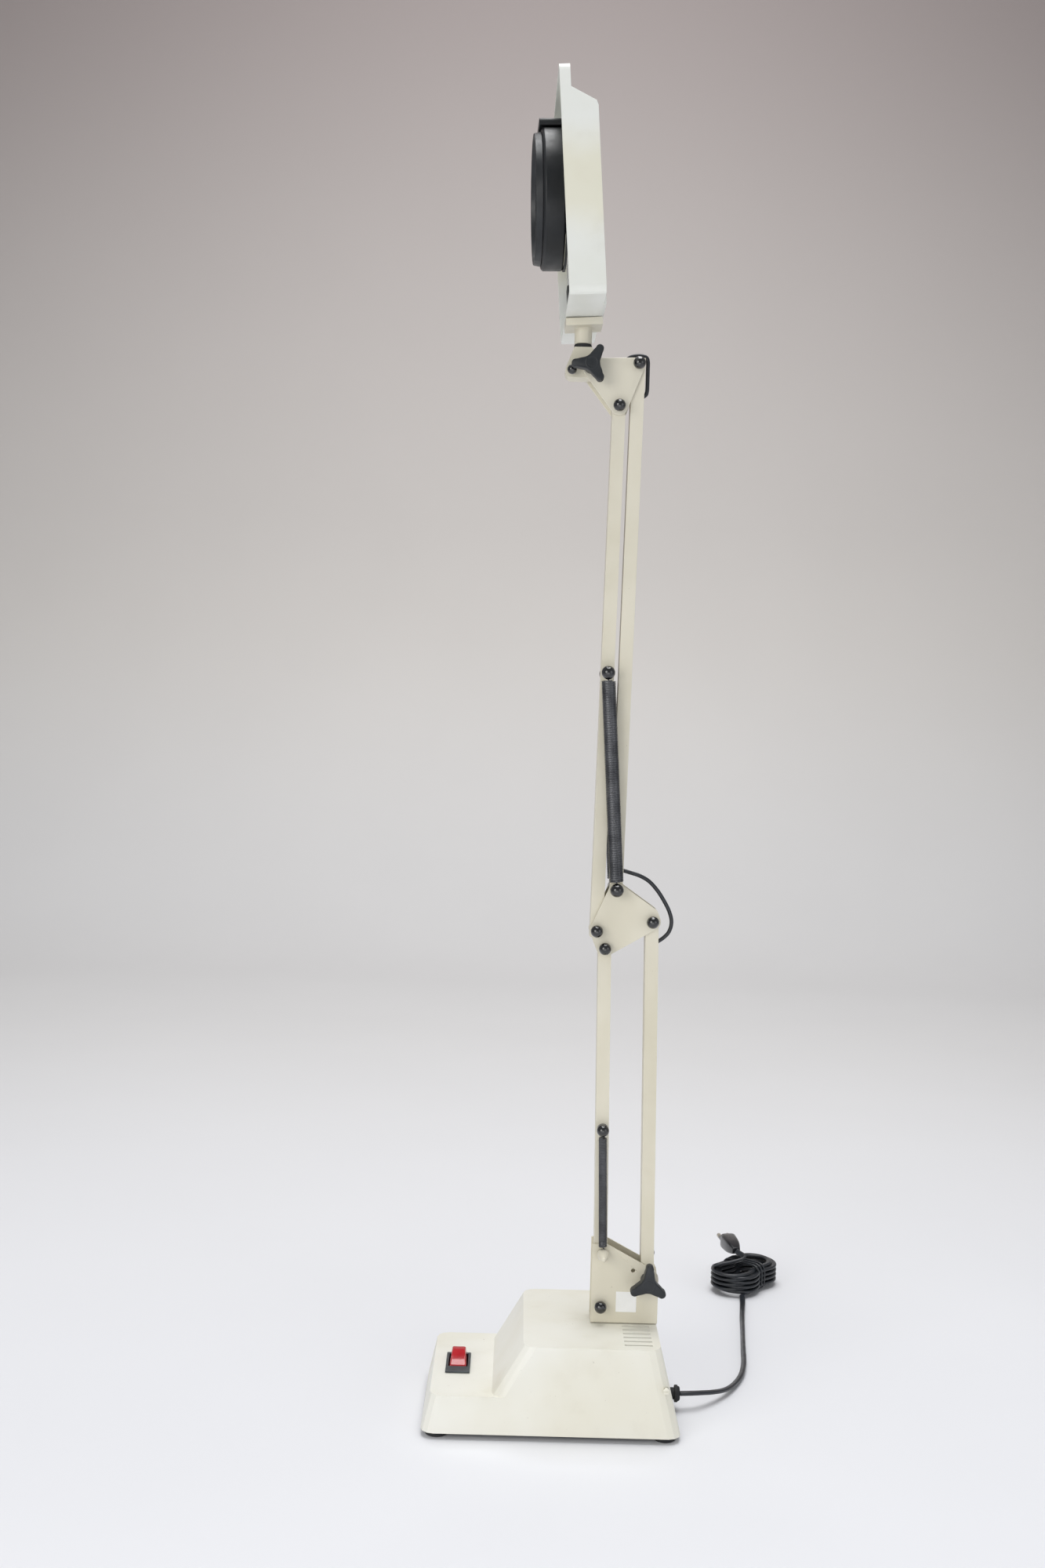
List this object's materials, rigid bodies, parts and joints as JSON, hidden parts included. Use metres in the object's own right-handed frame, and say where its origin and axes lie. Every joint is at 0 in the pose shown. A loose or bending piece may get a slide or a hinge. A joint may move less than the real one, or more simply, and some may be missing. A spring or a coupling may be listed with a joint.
{
  "type": "magnifying lamp",
  "caption": "Desk magnifying lamp with a stepped transformer base, a sprung parallelogram arm and a shallow lamp head that carries a round lens",
  "frame": {"origin": "centre of the base footprint on the table; +X towards the cord end, -X towards the user, +Z up", "axes": "object stands upright on +Z; swing joints turn about -Y"},
  "size_m": [0.2947, 0.3919, 0.9226],
  "materials": {
    "cream_paint": "satin stoved paint, slightly yellowed",
    "arm_paint": "satin cream paint with small chips",
    "head_paint": "gloss off-white paint, warm patch over the lamps",
    "dark_plastic": "dark slate moulding",
    "red_plastic": "clear red rocker",
    "black_rubber": "black flexible plastic",
    "black_cap_nut": "gloss black cap nuts",
    "zinc_steel": "zinc plated",
    "spring_steel": "dark close-wound spring wire",
    "core_steel": "varnished laminations",
    "copper_winding": "enamelled copper under tape",
    "clear_glass": "clear polished glass"
  },
  "bodies": {
    "base": {"base_cover": "cream_paint", "base_plate": "black_rubber", "foot_left_near": "black_rubber", "foot_left_far": "black_rubber", "foot_right_near": "black_rubber", "foot_right_far": "black_rubber", "cover_screw": "zinc_steel", "transformer_core": "core_steel", "transformer_winding": "copper_winding", "switch_body": "dark_plastic", "cord_gland": "black_rubber", "mains_cord": "black_rubber", "cord_hank": "black_rubber", "mains_plug": "black_rubber"},
    "rocker": {"switch_rocker": "red_plastic"},
    "swivel_bracket": {"arm_bracket": "arm_paint", "swivel_spindle": "zinc_steel", "bracket_bolt": "black_cap_nut", "lower_spring_post": "arm_paint", "lower_knob_bolt": "zinc_steel"},
    "knob_lower_near": {"lower_knob_near": "dark_plastic"},
    "knob_lower_far": {"lower_knob_far": "dark_plastic"},
    "lower_front": {"lower_front_link": "arm_paint", "lower_spring_stud": "black_cap_nut"},
    "lower_back": {"lower_back_link": "arm_paint"},
    "lower_spring_foot": {"lower_spring": "spring_steel"},
    "lower_spring_head": {"lower_spring_eye": "spring_steel"},
    "elbow": {"elbow_plate_near": "arm_paint", "elbow_plate_far": "arm_paint", "elbow_bolt_lower_front": "black_cap_nut", "elbow_bolt_lower_back": "black_cap_nut", "elbow_bolt_upper_front": "black_cap_nut", "elbow_bolt_upper_back": "black_cap_nut", "elbow_lead": "black_rubber"},
    "upper_front": {"upper_front_link": "arm_paint", "upper_spring_stud": "black_cap_nut"},
    "upper_back": {"upper_back_link": "arm_paint"},
    "upper_spring_foot": {"upper_spring_near": "spring_steel", "upper_spring_far": "spring_steel"},
    "upper_spring_head": {"upper_spring_eye_near": "spring_steel", "upper_spring_eye_far": "spring_steel"},
    "head_bracket": {"head_plate_near": "arm_paint", "head_plate_far": "arm_paint", "head_bolt_front": "black_cap_nut", "head_bolt_back": "black_cap_nut", "tilt_bolt": "black_cap_nut", "head_lead": "black_rubber"},
    "knob_head": {"head_knob": "dark_plastic"},
    "knuckle": {"tilt_knuckle": "arm_paint", "knuckle_bolt": "black_cap_nut"},
    "head": {"neck_bracket": "arm_paint", "head_housing": "head_paint", "lamp_holder_near": "dark_plastic", "lamp_bulb_near": "clear_glass", "lamp_holder_far": "dark_plastic", "lamp_bulb_far": "clear_glass", "lens_ring": "dark_plastic", "lens_bezel": "dark_plastic", "lens": "clear_glass", "lens_carrier": "dark_plastic"}
  },
  "joints": [
    {"name": "base_swivel", "type": "hinge", "parent": "base", "child": "swivel_bracket", "pos_m": [0.051, 0, 0.06], "axis": [0, 0, 1], "range_deg": [-160, 160]},
    {"name": "switch_rocker", "type": "hinge", "parent": "base", "child": "rocker", "pos_m": [-0.066, 0.0025, 0.029], "axis": [-1, 0, 0], "range_deg": [0, 20]},
    {"name": "lower_knob_near", "type": "hinge", "parent": "swivel_bracket", "child": "knob_lower_near", "pos_m": [0.067, -0.016, 0.0975], "axis": [0, -1, 0], "range_deg": [-20, 90]},
    {"name": "lower_knob_far", "type": "hinge", "parent": "swivel_bracket", "child": "knob_lower_far", "pos_m": [0.067, 0.016, 0.0975], "axis": [0, 1, 0], "range_deg": [-20, 90]},
    {"name": "lower_arm_swing", "type": "hinge", "parent": "swivel_bracket", "child": "lower_front", "pos_m": [0.034, 0, 0.078], "axis": [0, -1, 0], "range_deg": [-10, 50]},
    {"name": "lower_level", "type": "hinge", "parent": "lower_front", "child": "elbow", "pos_m": [0.0301, 0, 0.3327], "axis": [0, -1, 0], "range_deg": [-50, 10], "deforming": ["elbow_lead"]},
    {"name": "lower_back_swing", "type": "hinge", "parent": "elbow", "child": "lower_back", "pos_m": [0.0631, 0, 0.3522], "axis": [0, -1, 0], "range_deg": [-10, 50]},
    {"name": "upper_arm_swing", "type": "hinge", "parent": "elbow", "child": "upper_front", "pos_m": [0.024, 0, 0.3449], "axis": [0, -1, 0], "range_deg": [-4, 75]},
    {"name": "upper_back_swing", "type": "hinge", "parent": "elbow", "child": "upper_back", "pos_m": [0.037, 0, 0.3744], "axis": [0, -1, 0], "range_deg": [-4, 75]},
    {"name": "head_level", "type": "hinge", "parent": "upper_front", "child": "head_bracket", "pos_m": [0.0294, 0, 0.7123], "axis": [0, -1, 0], "range_deg": [-75, 4], "deforming": ["head_lead"]},
    {"name": "head_knob", "type": "hinge", "parent": "head_bracket", "child": "knob_head", "pos_m": [0.009, -0.019, 0.739], "axis": [0, -1, 0], "range_deg": [-20, 90]},
    {"name": "head_tilt", "type": "hinge", "parent": "head_bracket", "child": "knuckle", "pos_m": [0.009, 0, 0.739], "axis": [0, -1, 0], "range_deg": [-40, 68]},
    {"name": "head_turn", "type": "hinge", "parent": "knuckle", "child": "head", "pos_m": [0.0032, 0, 0.757], "axis": [0, 0, 1], "range_deg": [-150, 150]},
    {"name": "lower_spring_turn", "type": "hinge", "parent": "swivel_bracket", "child": "lower_spring_foot", "pos_m": [0.0346, -0.0136, 0.1155], "axis": [0, -1, 0], "range_deg": [-14, 66]},
    {"name": "lower_spring_stretch", "type": "slide", "parent": "lower_spring_foot", "child": "lower_spring_head", "axis": [-0.028, 0, 0.9996], "range_m": [-0.0035, 0.0155], "deforming": ["lower_spring", "lower_spring_eye"]},
    {"name": "upper_spring_turn", "type": "hinge", "parent": "elbow", "child": "upper_spring_foot", "pos_m": [0.037, 0, 0.3744], "axis": [0, -1, 0], "range_deg": [-5, 83]},
    {"name": "upper_spring_stretch", "type": "slide", "parent": "upper_spring_foot", "child": "upper_spring_head", "axis": [-0.0676, 0, 0.9977], "range_m": [-0.0025, 0.035], "deforming": ["upper_spring_near", "upper_spring_far", "upper_spring_eye_near", "upper_spring_eye_far"]}
  ],
  "couplings": [
    {"joint": "lower_level", "follows": "lower_arm_swing", "ratio": -1},
    {"joint": "lower_back_swing", "follows": "lower_arm_swing", "ratio": 1},
    {"joint": "lower_spring_turn", "follows": "lower_arm_swing", "ratio": 1.317},
    {"joint": "lower_spring_stretch", "follows": "lower_arm_swing", "m_per_rad": 0.01697},
    {"joint": "upper_back_swing", "follows": "upper_arm_swing", "ratio": 1},
    {"joint": "head_level", "follows": "upper_arm_swing", "ratio": -1},
    {"joint": "upper_spring_turn", "follows": "upper_arm_swing", "ratio": 1.086},
    {"joint": "upper_spring_stretch", "follows": "upper_arm_swing", "m_per_rad": 0.02611}
  ]
}
